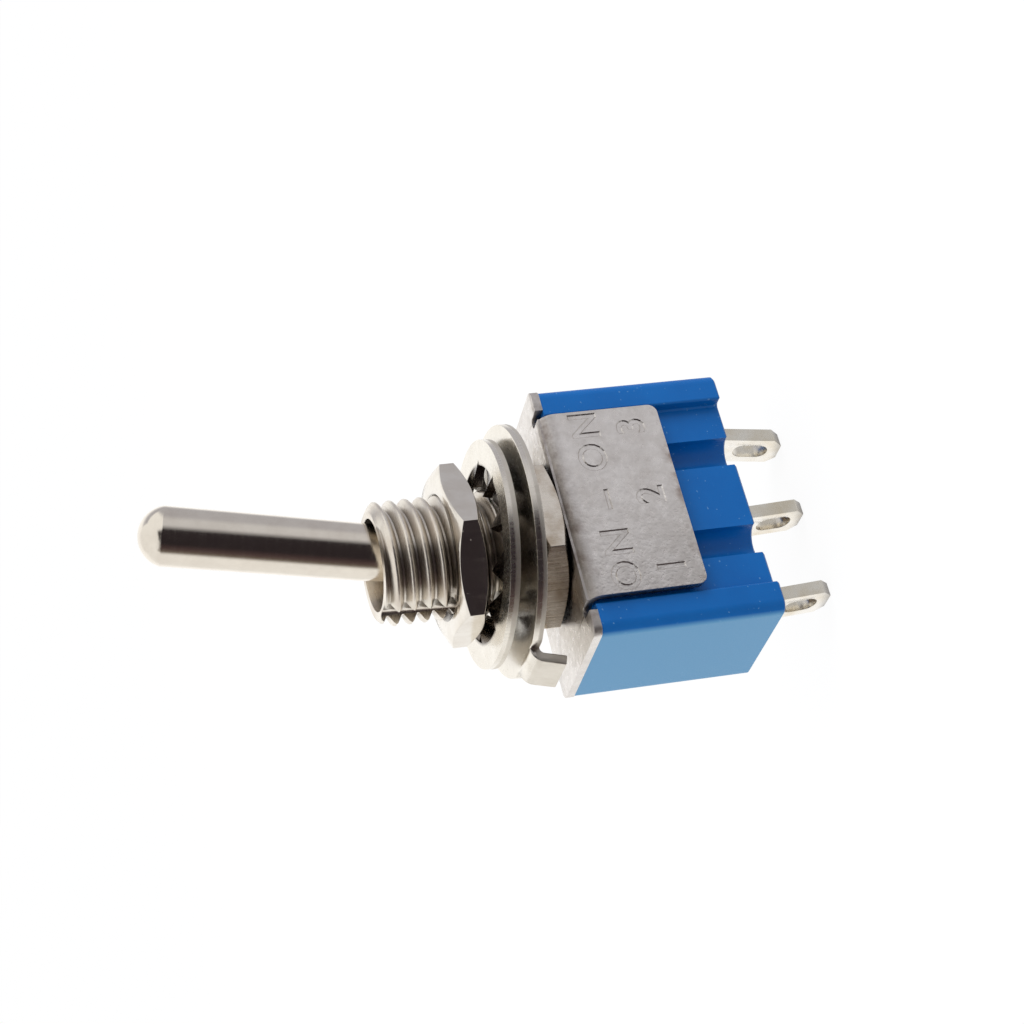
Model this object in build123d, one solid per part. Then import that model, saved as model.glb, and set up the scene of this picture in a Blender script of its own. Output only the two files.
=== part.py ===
from build123d import *
import os
from math import cos, radians, sin, sqrt, tan

# Miniature single-pole toggle switch, two positions, with solder lugs.
# Millimetres. The origin is on the bushing's axis, at the top face of the metal frame.
# +Z points out of the panel along the bushing, X runs along the row of terminals, and
# -Y is the side that shows the frame's stamped flap. The lever rests towards +X.

# ---- case: moulded block with end ridges, finger grooves and an open top ----
case_length = 13.45
case_depth = 7.2            # over the four end ridges
case_height = 9.15
case_corner_r = 0.6
case_foot_chamfer = 0.1     # softened edges round the foot
ridge_height = 0.62         # how far the end ridges stand proud of the large faces
ridge_length = 1.56         # along X
ridge_fillet_r = 0.12
groove_width = 1.56
groove_centre_x = 2.48
groove_depth = 1.0
cavity_width = 3.1
cavity_margin = 0.55        # end terminal to the cavity's end wall
floor_thickness = 2.0
resin_depth = 0.5           # recess in the foot that holds the sealing resin
resin_shrink = 0.1          # how far the resin stays short of the foot
resin_margin = 0.45         # how far the recess runs past the end terminals

# ---- frame: one folded sheet, a top plate with a flap down each large face ----
sheet_thickness = 0.4
frame_depth = 7.9           # over the two flaps
flap_width = 10.0
flap_length = 5.95          # from the plate's top face to the flap's end
bend_outer_r = 0.75
flap_corner_r = 0.45
plate_corner_r = 0.45
relief_width = 0.5          # notches that free the bend from the plate's ends
relief_depth = 0.75
plate_hole_r = 2.72

# ---- bushing: turned neck, thread at its crest size, clenched under the plate ----
thread_r = 3.0
thread_pitch = 0.75
bushing_length = 8.7
tip_chamfer = 0.3
neck_r = 2.7
foot_flange_r = 3.05
foot_flange_height = 0.5
keyway_width = 1.2
keyway_floor_r = 2.45
keyway_start_z = 1.0
mouth_r = 2.25
seat_mouth_r = 1.85         # where the ball seat opens into the mouth's cone
bore_foot_r = 2.5
bore_flare_height = 1.9

# ---- lever: ball pivot, slim rod to the outside, bored tail to the inside ----
pivot_z = 5.5
lever_throw = 25.0          # degrees between the two stops
ball_r = 2.1
ball_clearance = 0.05
rod_r = 1.42
rod_root_r = 1.3            # where the rod leaves the ball
rod_taper_end = 3.75        # pivot to the end of the taper, just clear of the bushing's mouth
rod_shoulder = 13.13        # pivot to the sharp edge where the dome starts
dome_height = 1.15
tail_r = 1.15
tail_length = 4.2
tail_bore_r = 0.78
tail_bore_top = 0.3         # distance of the bore's end below the pivot
tail_edge = 0.12

# ---- plunger and its spring, inside the lever's tail ----
plunger_clearance = 0.06
plunger_tip_reach = 8.6     # pivot to the plunger's round tip
plunger_tip_r = 0.6
plunger_neck_r = 0.45
plunger_neck_length = 0.8
plunger_edge = 0.11
plunger_guide_length = 1.9  # length of plunger inside the tail at rest
spring_wire_r = 0.1
spring_clearance = 0.06
spring_pitch = 0.5

# ---- rocker: the moving contact, a shallow trough with a flat arm each side ----
rocker_thickness = 0.4
rocker_half_length = 4.4
rocker_width = 2.4
rocker_trough_half = 2.3
rocker_trough_angle = 11.0
rocker_gap = 0.13           # running gap between the plunger's tip and the trough
rocker_swing = 16.0         # degrees between its two contact positions
rocker_notch_length = 1.0
rocker_waist = 1.8          # width left between the two locating notches
rocker_corner_r = 0.3

# ---- contacts ----
contact_x = 3.7
contact_head_r = 0.6
contact_head_height = 0.3
contact_bevel_width = 0.2
contact_bevel_height = 0.1
contact_shank_r = 0.3
contact_rivet_height = 0.1
contact_gap = 0.05

# ---- terminals: punched strip, one lug each ----
terminal_pitch = 4.7
terminal_thickness = 0.7
terminal_width = 2.0
terminal_clearance = 0.02
lug_length = 3.75
lug_tip_chamfer = 0.45
lug_slot_length = 1.8
lug_slot_width = 1.1
lug_slot_start = 1.35       # case foot to the slot
pad_length = 2.0            # bent-over contact pad of each end terminal
pad_bend_r = 0.15
saddle_width = 2.75
saddle_ear_width = 0.4
saddle_ear_height = 0.7
saddle_height = 1.2
saddle_gap = 0.03
lug_lean = {"left": 0.2, "centre": 0.15, "right": -0.5}   # sideways set at each tip

# ---- mounting hardware on the bushing ----
nut_across_flats = 7.8
nut_thickness = 1.35
nut_face_r = 3.86           # circle of each flat face, inside the chamfer
nut_chamfer_height = 0.33   # chamfer's height at the corners
nut_clearance = 0.02
nut_sink = 0.1              # countersink beyond the thread's crest
front_nut_turn = 22.5
rear_nut_turn = 1.0
rear_nut_gap = 0.1          # plate to the rear nut
ring_gap = 0.35             # rear nut to the locating ring
washer_gap = 0.6            # locating ring to the lock washer, where the panel goes
front_nut_gap = 0.67        # lock washer's rim to the front nut, bridged by its teeth
loose_drop = 0.1            # how far the two loose washers hang off the axis, towards -X
loose_lean_side = -29.0     # degrees from +X of the side that both lean to
washer_tilt = 5.0           # degrees that the lock washer leans on the thread
ring_tilt = 3.1             # degrees that the locating ring leans
washer_outer_r = 5.55
washer_rim_inner_r = 4.3
washer_bore_r = 3.2
washer_thickness = 0.48
washer_teeth = 10
tooth_thickness = 0.45      # the teeth are coined a little thinner than the rim
tooth_twist = 32.0
tooth_root_width = 1.75
tooth_tip_width = 1.25
ring_outer_r = 6.16
ring_bore_r = 3.15
ring_thickness = 0.5
ring_key_width = 0.9
ring_key_reach = 0.12       # gap left between the key and the keyway's floor
tab_width = 2.5
tab_root_x = 5.9
tab_bend_r = 0.75           # outside of the bend
tab_drop = 1.65             # ring's front face to the tab's end
tab_lean = 12.0             # degrees short of a square bend
tab_relief = 0.9            # cleared rim on each side of the tab

# ---- sizes that follow ----
case_top_z = -sheet_thickness
case_foot_z = case_top_z - case_height
face_y = case_depth / 2 - ridge_height
terminal_span = 2 * terminal_pitch + terminal_thickness
cavity_length = terminal_span + 2 * cavity_margin
resin_length = terminal_span + 2 * resin_margin
cavity_floor_z = case_foot_z + floor_thickness
resin_top_z = case_foot_z + resin_depth
flap_inner_y = frame_depth / 2 - sheet_thickness
lever_lean = lever_throw / 2
bore_r = ball_r + ball_clearance
plunger_r = tail_bore_r - plunger_clearance
rocker_axis_z = pivot_z - plunger_tip_reach - rocker_gap - rocker_thickness
rocker_rest = -rocker_swing / 2
arm_rise = rocker_trough_half * tan(radians(rocker_trough_angle))
# lowest point of the closed moving contact, then the fixed contact just under it
closed_contact_z = (
    rocker_axis_z
    - (contact_x + contact_head_r) * sin(radians(-rocker_rest))
    + (arm_rise - contact_head_height) * cos(radians(rocker_rest))
)
fixed_contact_z = closed_contact_z - contact_gap
pad_top_z = fixed_contact_z - contact_head_height
thread_mid_r = thread_r - 0.325 * thread_pitch   # metric thread form
rear_nut_z = rear_nut_gap
ring_z = rear_nut_z + nut_thickness + ring_gap
washer_z = ring_z + ring_thickness + washer_gap
front_nut_z = washer_z + washer_thickness + front_nut_gap

LOW = (Align.CENTER, Align.CENTER, Align.MIN)
HIGH = (Align.CENTER, Align.CENTER, Align.MAX)


def turned(points):
    """A piece turned about Z from an outline of (radius, height) points."""
    return revolve(make_face(Plane.XZ * Polyline(*points, close=True)), Axis.Z)


def dome(edge_r, edge_z, rise):
    """Arc of a turned dome, from its edge up (or down, if rise is negative) to the axis."""
    sphere_r = (edge_r ** 2 + rise ** 2) / (2 * abs(rise))
    up = 1 if rise > 0 else -1
    mid_r = edge_r * 0.7
    mid_z = edge_z + rise - up * (sphere_r - sqrt(sphere_r ** 2 - mid_r ** 2))
    return ThreePointArc((edge_r, edge_z), (mid_r, mid_z), (0, edge_z + rise))


def leaned(piece):
    """Swing a piece built upright on the pivot to the lever's rest stop."""
    return Pos(0, 0, pivot_z) * Rot(0, lever_lean, 0) * piece


def rocked(piece):
    """Swing a piece built level on the saddle to the rocker's rest position."""
    return Pos(0, 0, rocker_axis_z) * Rot(0, rocker_rest, 0) * piece


# ---- case ----
def make_case():
    """Case with four proud ridges, four round-bottomed grooves, cavity and foot recess."""
    outline = Rectangle(case_length, case_depth)
    recess_length = case_length - 2 * ridge_length
    for side in (-1, 1):
        outline -= Pos(0, side * case_depth / 2) * Rectangle(recess_length, 2 * ridge_height)
        for end in (-1, 1):
            groove = Rot(0, 0, 90) * SlotOverall(4 * groove_depth, groove_width)
            outline -= Pos(end * groove_centre_x, side * (face_y + groove_depth)) * groove
    case = Pos(0, 0, case_foot_z) * extrude(outline, case_height)
    corners = [
        e for e in case.edges().filter_by(Axis.Z)
        if abs(e.center().X) > case_length / 2 - 0.01
    ]
    case = fillet(corners, case_corner_r)
    steps = [
        e for e in case.edges().filter_by(Axis.Z)
        if abs(abs(e.center().X) - recess_length / 2) < 0.01
    ]
    case = fillet(steps, ridge_fillet_r)
    case = chamfer(case.faces().sort_by(Axis.Z)[0].outer_wire().edges(), case_foot_chamfer)

    # seats under the flaps, only on the lands between the grooves and below the bend
    seat_top_z = -bend_outer_r
    seat_height = flap_length - bend_outer_r - flap_corner_r
    seat_half = groove_centre_x - groove_width / 2
    land_start = groove_centre_x + groove_width / 2
    land_end = flap_width / 2 - flap_corner_r / 2
    for side in (-1, 1):
        depth = flap_inner_y - face_y
        y = side * (face_y + depth / 2)
        case += Pos(0, y, seat_top_z) * Box(2 * seat_half, depth, seat_height, align=HIGH)
        for end in (-1, 1):
            x = end * (land_start + land_end) / 2
            case += Pos(x, y, seat_top_z) * Box(
                land_end - land_start, depth, seat_height, align=HIGH
            )

    cavity_height = case_top_z - cavity_floor_z
    case -= Pos(0, 0, case_top_z) * Box(cavity_length, cavity_width, cavity_height, align=HIGH)
    pocket_r = foot_flange_r + terminal_clearance
    case -= Pos(0, 0, case_top_z) * Cylinder(pocket_r, foot_flange_height, align=HIGH)
    case -= make_resin_block(0)
    for x in (-terminal_pitch, 0, terminal_pitch):
        slot = Box(
            terminal_thickness + 2 * terminal_clearance,
            terminal_width + 2 * terminal_clearance,
            2 * floor_thickness,
        )
        case -= Pos(x, 0, cavity_floor_z - floor_thickness / 2) * slot
    return case


def make_resin_block(shrink):
    """The foot recess, or the resin that fills it a little short of the rim."""
    block = Box(
        resin_length,
        cavity_width - 2 * terminal_clearance,
        resin_depth - shrink,
        align=HIGH,
    )
    return Pos(0, 0, resin_top_z) * block


def make_terminal_seal():
    """Cast resin round the three terminals where they leave the foot."""
    seal = make_resin_block(resin_shrink)
    for x in (-terminal_pitch, 0, terminal_pitch):
        seal -= Pos(x, 0, resin_top_z) * Box(
            terminal_thickness, terminal_width, 3 * resin_depth
        )
    return seal


# ---- frame ----
def make_frame():
    """Folded sheet: plate as long as the case, and a narrower flap down each side."""
    outer = Pos(0, -flap_length / 2) * Rectangle(frame_depth, flap_length)
    top_corners = outer.vertices().sort_by(Axis.Y)[-2:]
    outer = fillet(top_corners, bend_outer_r)
    inner_r = max(bend_outer_r - sheet_thickness, 0.05)
    inner = Pos(0, -sheet_thickness - flap_length / 2) * Rectangle(2 * flap_inner_y, flap_length)
    inner = fillet(inner.vertices().sort_by(Axis.Y)[-2:], inner_r)
    channel = extrude(Plane.YZ * (outer - inner), flap_width / 2, both=True)
    flap_ends = [
        e for e in channel.edges().filter_by(Axis.Y) if e.center().Z < -flap_length + 0.01
    ]
    frame = fillet(flap_ends, flap_corner_r)

    plate = RectangleRounded(case_length, case_depth, plate_corner_r)
    frame += extrude(plate, -sheet_thickness)
    for side in (-1, 1):
        for end in (-1, 1):
            x = end * (flap_width + relief_width) / 2
            notch = Box(relief_width, 2 * relief_depth, 3 * sheet_thickness)
            frame -= Pos(x, side * case_depth / 2, 0) * notch
            root = Cylinder(relief_width / 2, 3 * sheet_thickness)
            frame -= Pos(x, side * (case_depth / 2 - relief_depth), 0) * root
    frame -= Cylinder(plate_hole_r, 3 * sheet_thickness)
    return frame


# ---- bushing ----
def make_bushing():
    """Turned bushing: coned mouth, ball seat, straight bore and flared foot.

    The thread is a plain stretch at its crest, and at its mid height under each nut,
    where the two threads engage.
    """
    foot_z = case_top_z - foot_flange_height
    seat_rise = sqrt(bore_r ** 2 - seat_mouth_r ** 2)
    seat_mid_r = bore_r * cos(radians(15))
    seat_mid_z = pivot_z + bore_r * sin(radians(15))
    flare_z = foot_z + bore_flare_height
    outline = (
        Polyline(
            (seat_mouth_r, pivot_z + seat_rise),
            (mouth_r, bushing_length),
            (thread_r - tip_chamfer, bushing_length),
            (thread_r, bushing_length - tip_chamfer),
            (thread_r, front_nut_z + nut_thickness),
            (thread_mid_r, front_nut_z + nut_thickness),
            (thread_mid_r, front_nut_z),
            (thread_r, front_nut_z),
            (thread_r, rear_nut_z + nut_thickness),
            (thread_mid_r, rear_nut_z + nut_thickness),
            (thread_mid_r, rear_nut_z),
            (thread_r, rear_nut_z),
            (thread_r, 0),
            (neck_r, 0),
            (neck_r, case_top_z),
            (foot_flange_r, case_top_z),
            (foot_flange_r, foot_z),
            (bore_foot_r, foot_z),
            (bore_r, flare_z),
            (bore_r, pivot_z),
        )
        + ThreePointArc(
            (bore_r, pivot_z),
            (seat_mid_r, seat_mid_z),
            (seat_mouth_r, pivot_z + seat_rise),
        )
    )
    bushing = revolve(make_face(Plane.XZ * outline), Axis.Z)
    keyway = Box(
        thread_r,
        keyway_width,
        bushing_length,
        align=(Align.MAX, Align.CENTER, Align.MIN),
    )
    return bushing - Pos(-keyway_floor_r, 0, keyway_start_z) * keyway


# ---- lever ----
def make_lever():
    """Lever: domed rod, ball, and a tail bored for the spring and plunger."""
    tail_meet = sqrt(ball_r ** 2 - tail_r ** 2)
    rod_meet = sqrt(ball_r ** 2 - rod_root_r ** 2)
    outline = (
        Polyline(
            (0, rod_shoulder + dome_height),
            (0, -tail_bore_top),
            (tail_bore_r, -tail_bore_top - tail_bore_r / 2),
            (tail_bore_r, -tail_length),
            (tail_r - tail_edge, -tail_length),
            (tail_r, -tail_length + tail_edge),
            (tail_r, -tail_meet),
        )
        + ThreePointArc((tail_r, -tail_meet), (ball_r, 0), (rod_root_r, rod_meet))
        + Polyline((rod_root_r, rod_meet), (rod_r, rod_taper_end), (rod_r, rod_shoulder))
        + dome(rod_r, rod_shoulder, dome_height)
    )
    return leaned(revolve(make_face(Plane.XZ * outline), Axis.Z))


def make_plunger():
    """Round-tipped plunger with a slim neck that centres the spring."""
    shoulder = plunger_guide_length - tail_length
    tip_centre = plunger_tip_r - plunger_tip_reach
    outline = (
        Polyline(
            (0, -plunger_tip_reach),
            (0, shoulder + plunger_neck_length),
            (plunger_neck_r - plunger_edge, shoulder + plunger_neck_length),
            (plunger_neck_r, shoulder + plunger_neck_length - plunger_edge),
            (plunger_neck_r, shoulder),
            (plunger_r, shoulder),
            (plunger_r, tip_centre + plunger_tip_r),
            (plunger_tip_r, tip_centre),
        )
        + dome(plunger_tip_r, tip_centre, -plunger_tip_r)
    )
    return leaned(revolve(make_face(Plane.XZ * outline), Axis.Z))


def make_plunger_spring():
    """Coil spring between the bore's end and the plunger's shoulder."""
    bottom = plunger_guide_length - tail_length + spring_wire_r
    top = -tail_bore_top - tail_bore_r / 2 - spring_wire_r
    coil_r = tail_bore_r - spring_clearance - spring_wire_r
    path = Helix(spring_pitch, top - bottom, coil_r)
    section = Plane(origin=path @ 0, z_dir=path % 0) * RegularPolygon(spring_wire_r, 6)
    return leaned(Pos(0, 0, bottom) * sweep(section, path))


# ---- moving contact ----
def make_rocker():
    """Pressed strip: a trough for the plunger, flat arms, and notches at the waist."""
    foot = [
        (-rocker_half_length, arm_rise),
        (-rocker_trough_half, arm_rise),
        (0, 0),
        (rocker_trough_half, arm_rise),
        (rocker_half_length, arm_rise),
    ]
    top = [(x, z + rocker_thickness) for x, z in reversed(foot)]
    profile = make_face(Plane.XZ * Polyline(*foot, *top, close=True))
    rocker = extrude(profile, rocker_width / 2, both=True)
    rocker = fillet(rocker.edges().filter_by(Axis.Z), rocker_corner_r)
    notch_depth = (rocker_width - rocker_waist) / 2
    for side in (-1, 1):
        notch = Box(rocker_notch_length, 2 * notch_depth, 4 * rocker_thickness)
        rocker -= Pos(0, side * rocker_width / 2, 0) * notch
    for side in (-1, 1):
        hole = Cylinder(contact_shank_r, 4 * rocker_thickness)
        rocker -= Pos(side * contact_x, 0, arm_rise) * hole
    return rocked(rocker)


def make_rivet(plate_thickness):
    """Contact rivet standing on its formed end, with a bevelled contact head on top."""
    base = plate_thickness
    head_top = base + contact_head_height
    rivet_r = (contact_shank_r + contact_head_r) / 2
    return turned([
        (0, -contact_rivet_height),
        (rivet_r, -contact_rivet_height),
        (rivet_r, 0),
        (contact_shank_r, 0),
        (contact_shank_r, base),
        (contact_head_r, base),
        (contact_head_r, head_top - contact_bevel_height),
        (contact_head_r - contact_bevel_width, head_top),
        (0, head_top),
    ])


def make_moving_contact(side):
    """Contact rivet set head-down in one arm of the rocker."""
    rivet = Rot(180, 0, 0) * make_rivet(rocker_thickness)
    return rocked(Pos(side * contact_x, 0, arm_rise + rocker_thickness) * rivet)


def make_fixed_contact(side):
    """Contact rivet set head-up in one end terminal's pad."""
    return Pos(side * contact_x, 0, pad_top_z - terminal_thickness) * make_rivet(terminal_thickness)


# ---- terminals ----
def finish_lug(strip, x, lean):
    """Bevel the lug's tip and punch its wire slot."""
    tip_z = case_foot_z - lug_length
    tip_edges = [
        e for e in strip.edges().filter_by(Axis.X)
        if e.center().Z < tip_z + 0.01
    ]
    strip = chamfer(tip_edges, lug_tip_chamfer)
    slot_z = case_foot_z - lug_slot_start - lug_slot_length / 2
    slot_x = x + lean * (case_foot_z - slot_z) / lug_length
    slot = extrude(
        Plane.YZ * (Rot(0, 0, 90) * SlotOverall(lug_slot_length, lug_slot_width)),
        2 * terminal_thickness,
        both=True,
    )
    return strip - Pos(slot_x, 0, slot_z) * slot


def make_end_terminal(side, lean):
    """End terminal: lug, strip up through the floor, and a pad bent towards the middle."""
    x = side * terminal_pitch
    half = terminal_thickness / 2
    tip_z = case_foot_z - lug_length
    outside = x + side * half
    inside = x - side * half
    pad_end = outside - side * pad_length
    pad_foot_z = pad_top_z - terminal_thickness
    profile = make_face(
        Plane.XZ * Polyline(
            (outside, pad_top_z),
            (outside, case_foot_z),
            (outside + lean, tip_z),
            (inside + lean, tip_z),
            (inside, case_foot_z),
            (inside, pad_foot_z),
            (pad_end, pad_foot_z),
            (pad_end, pad_top_z),
            close=True,
        )
    )
    strip = extrude(profile, terminal_width / 2, both=True)
    inner_bend = [
        e for e in strip.edges().filter_by(Axis.Y)
        if abs(e.center().X - inside) < 0.01 and abs(e.center().Z - pad_foot_z) < 0.01
    ]
    strip = fillet(inner_bend, pad_bend_r)
    outer_bend = [
        e for e in strip.edges().filter_by(Axis.Y)
        if abs(e.center().X - outside) < 0.01 and abs(e.center().Z - pad_top_z) < 0.01
    ]
    strip = fillet(outer_bend, pad_bend_r + terminal_thickness / 2)
    hole = Cylinder(contact_shank_r, 3 * terminal_thickness)
    strip -= Pos(side * contact_x, 0, pad_top_z) * hole
    return finish_lug(strip, x, lean)


def make_centre_terminal(lean):
    """Centre terminal: lug, strip, and a saddle with two ears that locate the rocker."""
    half = terminal_thickness / 2
    saddle_z = rocker_axis_z - saddle_gap
    tip_z = case_foot_z - lug_length
    profile = make_face(
        Plane.XZ * Polyline(
            (-half, saddle_z),
            (half, saddle_z),
            (half, case_foot_z),
            (half + lean, tip_z),
            (-half + lean, tip_z),
            (-half, case_foot_z),
            close=True,
        )
    )
    strip = extrude(profile, terminal_width / 2, both=True)
    strip += Pos(0, 0, saddle_z) * Box(terminal_thickness, saddle_width, saddle_height, align=HIGH)
    for side in (-1, 1):
        ear = Box(
            terminal_thickness,
            saddle_ear_width,
            saddle_height + saddle_ear_height,
            align=HIGH,
        )
        y = side * (saddle_width - saddle_ear_width) / 2
        strip += Pos(0, y, saddle_z + saddle_ear_height) * ear
    return finish_lug(strip, 0, lean)


# ---- mounting hardware ----
def make_nut(z, turn):
    """Thin hexagon nut, chamfered on both faces, with a countersunk bore."""
    corner_r = nut_across_flats / 2 / cos(radians(30))
    hexagon = extrude(Rot(0, 0, turn) * RegularPolygon(corner_r, 6), nut_thickness)
    bore = thread_mid_r + nut_clearance
    sink_r = thread_r + nut_sink
    sink = sink_r - bore
    blank = turned([
        (bore, sink),
        (sink_r, 0),
        (nut_face_r, 0),
        (corner_r, nut_chamfer_height),
        (corner_r, nut_thickness - nut_chamfer_height),
        (nut_face_r, nut_thickness),
        (sink_r, nut_thickness),
        (bore, nut_thickness - sink),
    ])
    return Pos(0, 0, z) * (hexagon & blank)


def hung(piece, z, tilt):
    """Hang a loose washer on the thread at height z, leaning to its low side."""
    lean = Rot(0, 0, loose_lean_side) * Rot(0, tilt, 0) * Rot(0, 0, -loose_lean_side)
    return Pos(-loose_drop, 0, z) * lean * piece


def make_lock_washer():
    """Internal-tooth lock washer: a flat rim and inward teeth, each twisted on its root."""
    rim = Cylinder(washer_outer_r, washer_thickness)
    rim -= Cylinder(washer_rim_inner_r, 2 * washer_thickness)
    root_x = washer_rim_inner_r + washer_thickness / 2
    root = Plane(origin=(root_x, 0, 0), x_dir=(0, 1, 0), z_dir=(-1, 0, 0))
    tip = Plane(origin=(washer_bore_r, 0, 0), x_dir=(0, 1, 0), z_dir=(-1, 0, 0))
    tooth = loft([
        root * Rectangle(tooth_root_width, tooth_thickness),
        tip * (Rot(0, 0, tooth_twist) * Rectangle(tooth_tip_width, tooth_thickness)),
    ])
    washer = rim
    for i in range(washer_teeth):
        washer += Rot(0, 0, 360 / washer_teeth * (i + 0.5)) * tooth
    return hung(washer, washer_z + washer_thickness / 2, washer_tilt)


def make_locating_ring():
    """Flat ring keyed into the bushing's keyway, with a locating tab bent off its rim."""
    ring = Cylinder(ring_outer_r, ring_thickness, align=LOW)
    ring -= Cylinder(ring_bore_r, 3 * ring_thickness)
    key_tip = keyway_floor_r + ring_key_reach
    key_length = ring_bore_r - key_tip + ring_thickness
    ring += Pos(-key_tip, 0, 0) * Box(
        key_length, ring_key_width, ring_thickness, align=(Align.MAX, Align.CENTER, Align.MIN)
    )
    # clear the rim on each side of the tab, then bend the tab down off the root line
    relief = Box(
        ring_outer_r, tab_width + 2 * tab_relief, 3 * ring_thickness,
        align=(Align.MAX, Align.CENTER, Align.CENTER),
    )
    ring -= Pos(-tab_root_x, 0, 0) * relief
    bend = 90 - tab_lean
    inner_r = tab_bend_r - ring_thickness
    centre = (-tab_root_x, ring_thickness - tab_bend_r)

    def bend_point(r, angle):
        return (centre[0] - r * sin(radians(angle)), centre[1] + r * cos(radians(angle)))

    straight = tab_drop - tab_bend_r * (1 - cos(radians(bend)))
    run = (-straight * tan(radians(tab_lean)), -straight)
    outer_end = bend_point(tab_bend_r, bend)
    inner_end = bend_point(inner_r, bend)
    outer_tip = (outer_end[0] + run[0], outer_end[1] + run[1])
    inner_tip = (inner_end[0] + run[0], inner_end[1] + run[1])
    profile = (
        ThreePointArc(bend_point(tab_bend_r, 0), bend_point(tab_bend_r, bend / 2), outer_end)
        + Polyline(outer_end, outer_tip, inner_tip, inner_end)
        + ThreePointArc(inner_end, bend_point(inner_r, bend / 2), bend_point(inner_r, 0))
        + Line(bend_point(inner_r, 0), bend_point(tab_bend_r, 0))
    )
    ring += extrude(make_face(Plane.XZ * profile), tab_width / 2, both=True)
    return hung(ring, ring_z, ring_tilt)


pieces = {
    "case": make_case(),
    "terminal_seal": make_terminal_seal(),
    "frame": make_frame(),
    "bushing": make_bushing(),
    "lever": make_lever(),
    "plunger": make_plunger(),
    "plunger_spring": make_plunger_spring(),
    "rocker": make_rocker(),
    "moving_contact_left": make_moving_contact(-1),
    "moving_contact_right": make_moving_contact(1),
    "fixed_contact_left": make_fixed_contact(-1),
    "fixed_contact_right": make_fixed_contact(1),
    "terminal_left": make_end_terminal(-1, lug_lean["left"]),
    "terminal_centre": make_centre_terminal(lug_lean["centre"]),
    "terminal_right": make_end_terminal(1, lug_lean["right"]),
    "front_nut": make_nut(front_nut_z, front_nut_turn),
    "lock_washer": make_lock_washer(),
    "locating_ring": make_locating_ring(),
    "rear_nut": make_nut(rear_nut_z, rear_nut_turn),
}

os.makedirs("parts", exist_ok=True)
for name, piece in pieces.items():
    export_step(piece, f"parts/{name}.step")
    print(f"{name:22s} solids {len(piece.solids())}  volume {piece.volume:9.3f}")
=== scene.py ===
import math
import bpy
from mathutils import Matrix, Vector


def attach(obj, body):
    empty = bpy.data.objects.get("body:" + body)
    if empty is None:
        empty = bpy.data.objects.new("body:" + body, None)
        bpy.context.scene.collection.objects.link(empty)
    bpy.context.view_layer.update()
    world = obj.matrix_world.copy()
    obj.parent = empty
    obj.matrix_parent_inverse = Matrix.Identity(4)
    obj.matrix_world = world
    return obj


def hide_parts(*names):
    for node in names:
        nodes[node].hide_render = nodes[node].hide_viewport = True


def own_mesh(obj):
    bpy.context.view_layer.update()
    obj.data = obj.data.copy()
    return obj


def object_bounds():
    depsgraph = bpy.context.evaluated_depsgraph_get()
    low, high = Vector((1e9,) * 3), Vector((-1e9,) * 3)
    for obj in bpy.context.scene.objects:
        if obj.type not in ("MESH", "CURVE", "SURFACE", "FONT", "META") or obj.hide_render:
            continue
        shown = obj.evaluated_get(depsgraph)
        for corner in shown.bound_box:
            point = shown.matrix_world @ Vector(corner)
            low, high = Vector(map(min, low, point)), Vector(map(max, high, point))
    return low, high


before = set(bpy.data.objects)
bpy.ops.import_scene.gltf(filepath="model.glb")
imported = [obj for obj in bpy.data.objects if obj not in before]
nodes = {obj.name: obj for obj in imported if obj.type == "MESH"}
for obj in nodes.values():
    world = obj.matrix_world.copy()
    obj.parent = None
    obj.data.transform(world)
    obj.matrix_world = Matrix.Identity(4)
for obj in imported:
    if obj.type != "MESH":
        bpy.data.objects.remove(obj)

cad_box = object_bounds()

# ---- studio ----
# A white sweep in a dim room, with one soft lamp over the table and one low at the side.
# Glowing dark, grey and white cards, painted reflections, stand where only polished metal sees
# them, so that its shape reads.

mm = 0.001


def linear(colour, alpha=1.0):
    """An sRGB hex colour as the linear colour that a shader takes."""
    parts = [int(colour[i:i + 2], 16) / 255 for i in (1, 3, 5)]
    return [p / 12.92 if p <= 0.04045 else ((p + 0.055) / 1.055) ** 2.4 for p in parts] + [alpha]


def add_node(tree, kind, settings=None, links=None):
    """Adds a node, sets its properties and inputs, and links its inputs to (node, output).

    Inputs 1 to 4 of a map range are from low, from high, to low and to high, and inputs
    6 and 7 of a colour mix are its two colours.
    """
    node = tree.nodes.new(kind)
    for name, value in (settings or {}).items():
        if isinstance(name, str) and hasattr(node, name):
            setattr(node, name, value)
        else:
            node.inputs[name].default_value = value
    for name, (source, output) in (links or {}).items():
        tree.links.new(source.outputs[output], node.inputs[name])
    return node


def new_material(name):
    """An empty material and its node tree."""
    material = bpy.data.materials.new(name)
    material.use_nodes = True
    material.node_tree.nodes.clear()
    return material, material.node_tree


def deselect():
    """Goes back to object mode with nothing selected."""
    if bpy.context.object and bpy.context.object.mode != "OBJECT":
        bpy.ops.object.mode_set(mode="OBJECT")
    bpy.ops.object.select_all(action="DESELECT")


def seen_directly(tree):
    """A node that is 1 for camera, glossy and transmission rays."""
    ray = add_node(tree, "ShaderNodeLightPath")
    gloss = add_node(
        tree, "ShaderNodeMath", {"operation": "MAXIMUM"},
        {0: (ray, "Is Camera Ray"), 1: (ray, "Is Glossy Ray")},
    )
    return add_node(
        tree, "ShaderNodeMath", {"operation": "MAXIMUM"},
        {0: (gloss, 0), 1: (ray, "Is Transmission Ray")},
    )


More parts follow.
